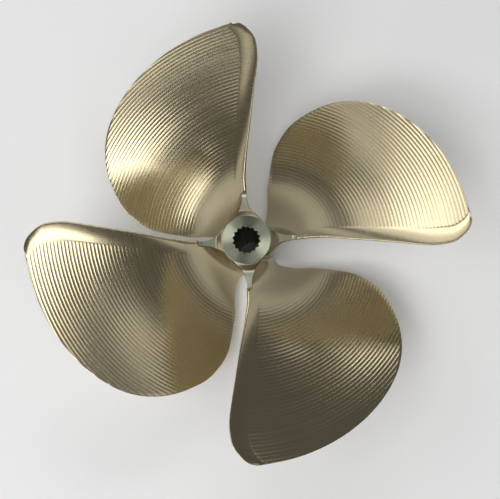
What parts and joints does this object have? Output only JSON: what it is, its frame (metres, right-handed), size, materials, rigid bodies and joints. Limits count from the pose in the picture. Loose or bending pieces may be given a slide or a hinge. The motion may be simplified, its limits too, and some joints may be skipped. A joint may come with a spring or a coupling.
{
  "type": "boat propeller",
  "caption": "Fixed-pitch left-hand boat propeller in milled bronze: hub with a splined bore, broad raked blades with cupped trailing edges.",
  "frame": {"origin": "on the shaft axis, in the plane of the forward hub face, which is the lowest point", "axes": "+Z along the shaft axis towards aft, out of the hub face that takes the nut; +Y towards the middle of one of the gaps between blades, +X towards the next gap clockwise from aft"},
  "size_m": [0.4298, 0.4298, 0.1454],
  "materials": {
    "bronze": "satin, milled"
  },
  "bodies": {
    "root": {"propeller": "bronze"}
  },
  "joints": []
}
